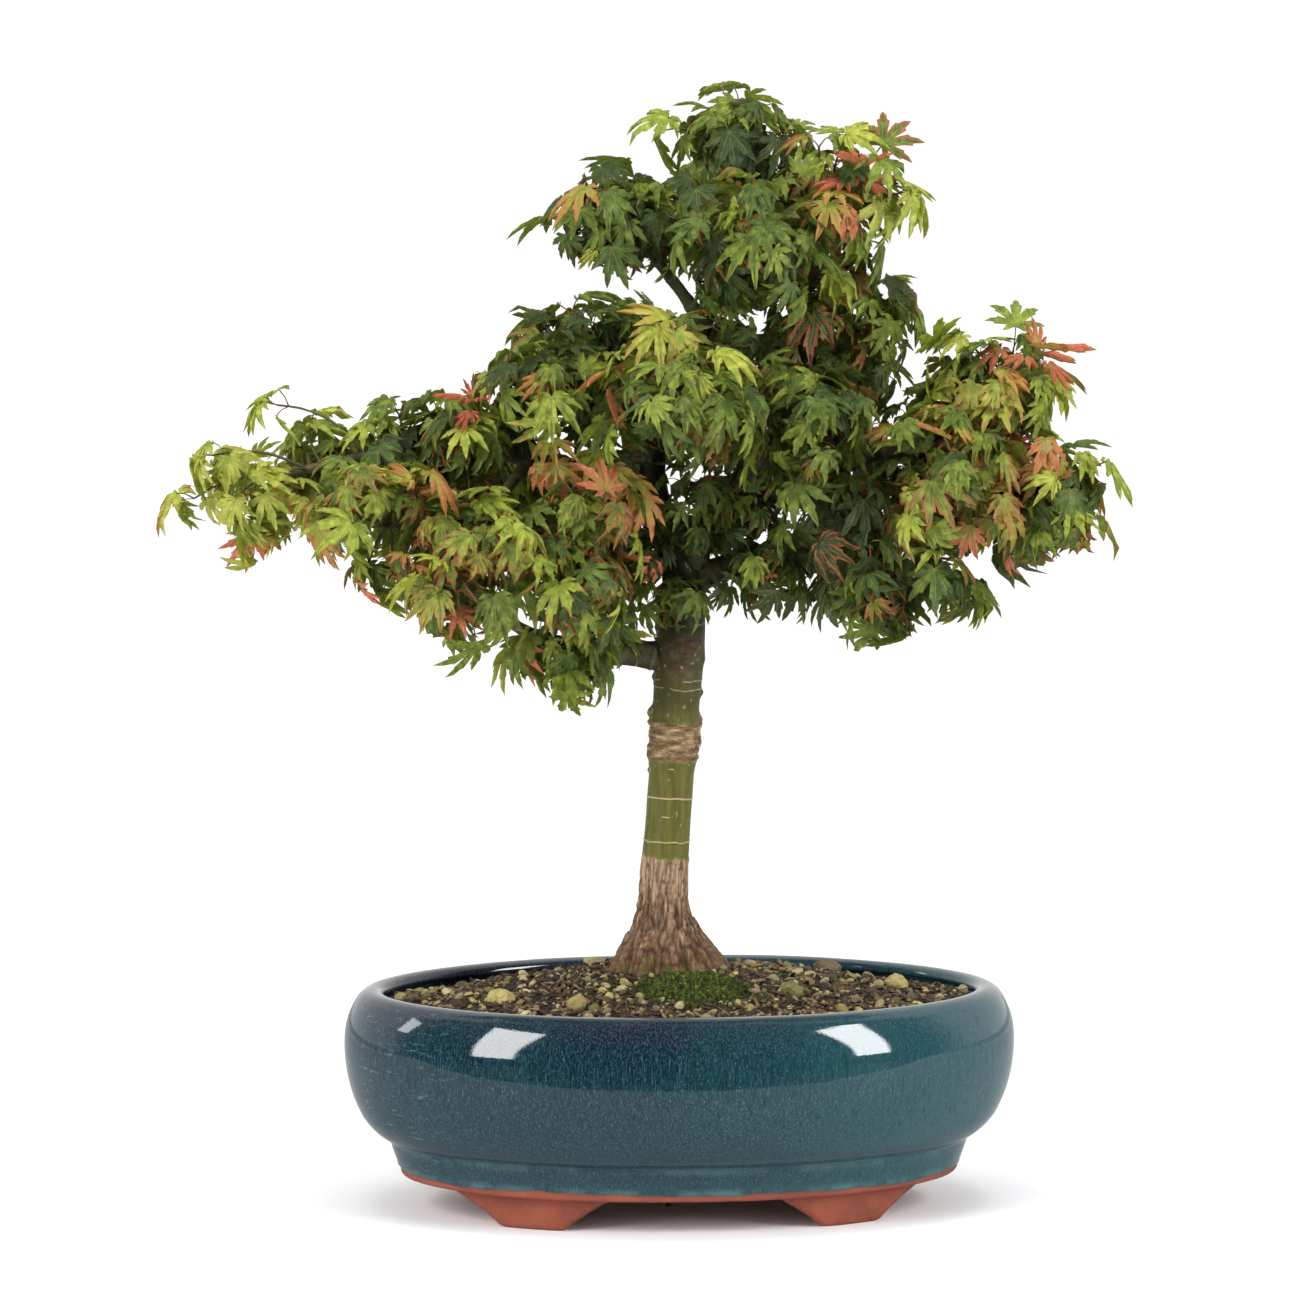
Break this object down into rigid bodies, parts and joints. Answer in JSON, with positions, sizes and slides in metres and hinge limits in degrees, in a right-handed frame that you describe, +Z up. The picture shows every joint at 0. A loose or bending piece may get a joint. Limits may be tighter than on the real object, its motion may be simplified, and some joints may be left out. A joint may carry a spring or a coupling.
{
  "type": "bonsai tree in a pot",
  "caption": "Japanese maple bonsai with a straight trunk, spreading branches and lobed leaves, planted in gritty soil in an oval glazed pot on clay feet.",
  "frame": {"origin": "middle of the whole plant's box, on the surface the pot stands on", "axes": "+Z up, X along the pot's length, front of the tree towards -Y"},
  "size_m": [0.4274, 0.2356, 0.5185],
  "materials": {
    "glazed_pot": "gloss",
    "bare_clay": "matte",
    "drain_mesh": "matte",
    "wire": "satin",
    "soil": "matte",
    "moss": "matte",
    "grit": "matte",
    "bark": "matte",
    "green_bark": "satin",
    "leaf_green": "satin",
    "leaf_yellow_green": "satin",
    "leaf_red": "satin"
  },
  "bodies": {
    "root": {"pot": "glazed_pot", "drain_mesh_left": "drain_mesh", "mesh_clip_left": "wire", "drain_mesh_right": "drain_mesh", "mesh_clip_right": "wire", "tie_wire": "wire", "soil": "soil", "moss_cushion": "moss", "grit_stone_1": "grit", "grit_stone_2": "grit", "grit_stone_3": "grit", "grit_stone_4": "grit", "grit_stone_5": "grit", "grit_stone_6": "grit", "trunk": "bark", "branch_left_low": "green_bark", "branch_left_long": "green_bark", "branch_left_front": "green_bark", "branch_left_back": "green_bark", "leader_right": "green_bark", "branch_right_low": "green_bark", "branch_right_long": "green_bark", "branch_right_top": "green_bark", "branch_right_back": "green_bark", "branch_middle_left": "green_bark", "branch_middle_front": "green_bark", "branch_middle_back": "green_bark", "branch_top_left": "green_bark", "branch_top_back": "green_bark", "pad_apex": "leaf_green", "pad_apex_right": "leaf_yellow_green", "pad_apex_left": "leaf_green", "pad_top_front": "leaf_green", "pad_top_back": "leaf_green", "pad_top_low": "leaf_yellow_green", "pad_middle_left": "leaf_green", "pad_middle_left_back": "leaf_green", "pad_middle_front": "leaf_yellow_green", "pad_middle_right": "leaf_green", "pad_middle_right_back": "leaf_green", "pad_middle_back": "leaf_green", "pad_left_tip": "leaf_yellow_green", "pad_left_outer": "leaf_green", "pad_left_outer_front": "leaf_yellow_green", "pad_left_middle": "leaf_green", "pad_left_middle_front": "leaf_red", "pad_left_middle_back": "leaf_green", "pad_left_inner": "leaf_red", "pad_left_inner_back": "leaf_green", "pad_left_low": "leaf_green", "pad_right_inner": "leaf_green", "pad_right_top": "leaf_yellow_green", "pad_right_outer": "leaf_red", "pad_right_middle": "leaf_red", "pad_right_middle_back": "leaf_green", "pad_right_low": "leaf_green", "pad_right_low_back": "leaf_green"}
  },
  "joints": []
}
